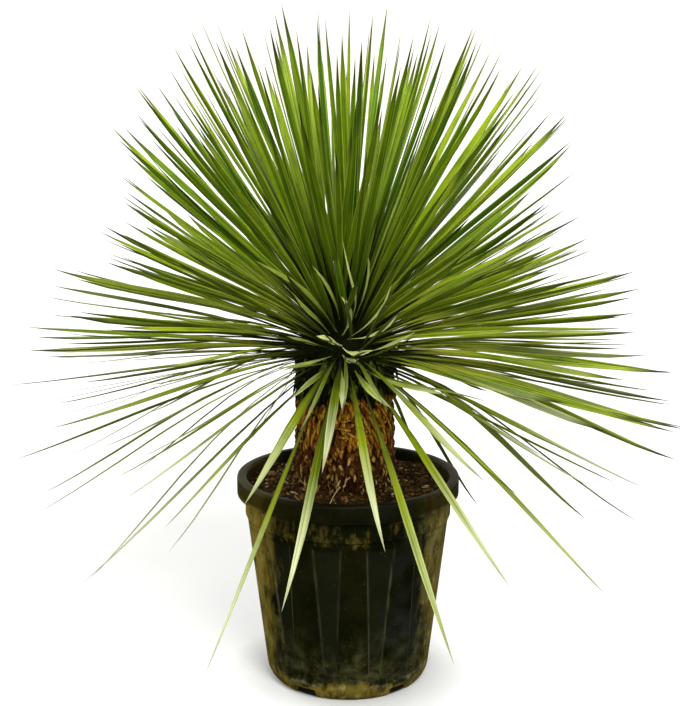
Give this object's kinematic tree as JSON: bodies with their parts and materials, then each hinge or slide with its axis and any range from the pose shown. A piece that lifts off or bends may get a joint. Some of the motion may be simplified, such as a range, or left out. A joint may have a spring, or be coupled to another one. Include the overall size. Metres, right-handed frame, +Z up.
{
  "type": "potted yucca",
  "caption": "Yucca with a round head of narrow pointed leaves on a short scaly trunk, standing in a fluted black nursery pot filled with bark potting soil.",
  "frame": {"origin": "on the floor, under the middle of the pot; the trunk and the leaf head stand 4 mm to the -X side of it", "axes": "+Z up along the trunk; the side seen in the picture faces -Y, and +X is to its right"},
  "size_m": [0.8365, 0.8118, 0.8324],
  "materials": {
    "pot_plastic": "weathered black nursery plastic",
    "potting_bark": "coarse damp bark and soil",
    "trunk_fibre": "dry fibrous leaf-base scales",
    "yucca_leaf": "satin tough leaf"
  },
  "bodies": {
    "root": {"pot": "pot_plastic", "soil": "potting_bark", "trunk": "trunk_fibre", "leaf_head": "yucca_leaf"}
  },
  "joints": []
}
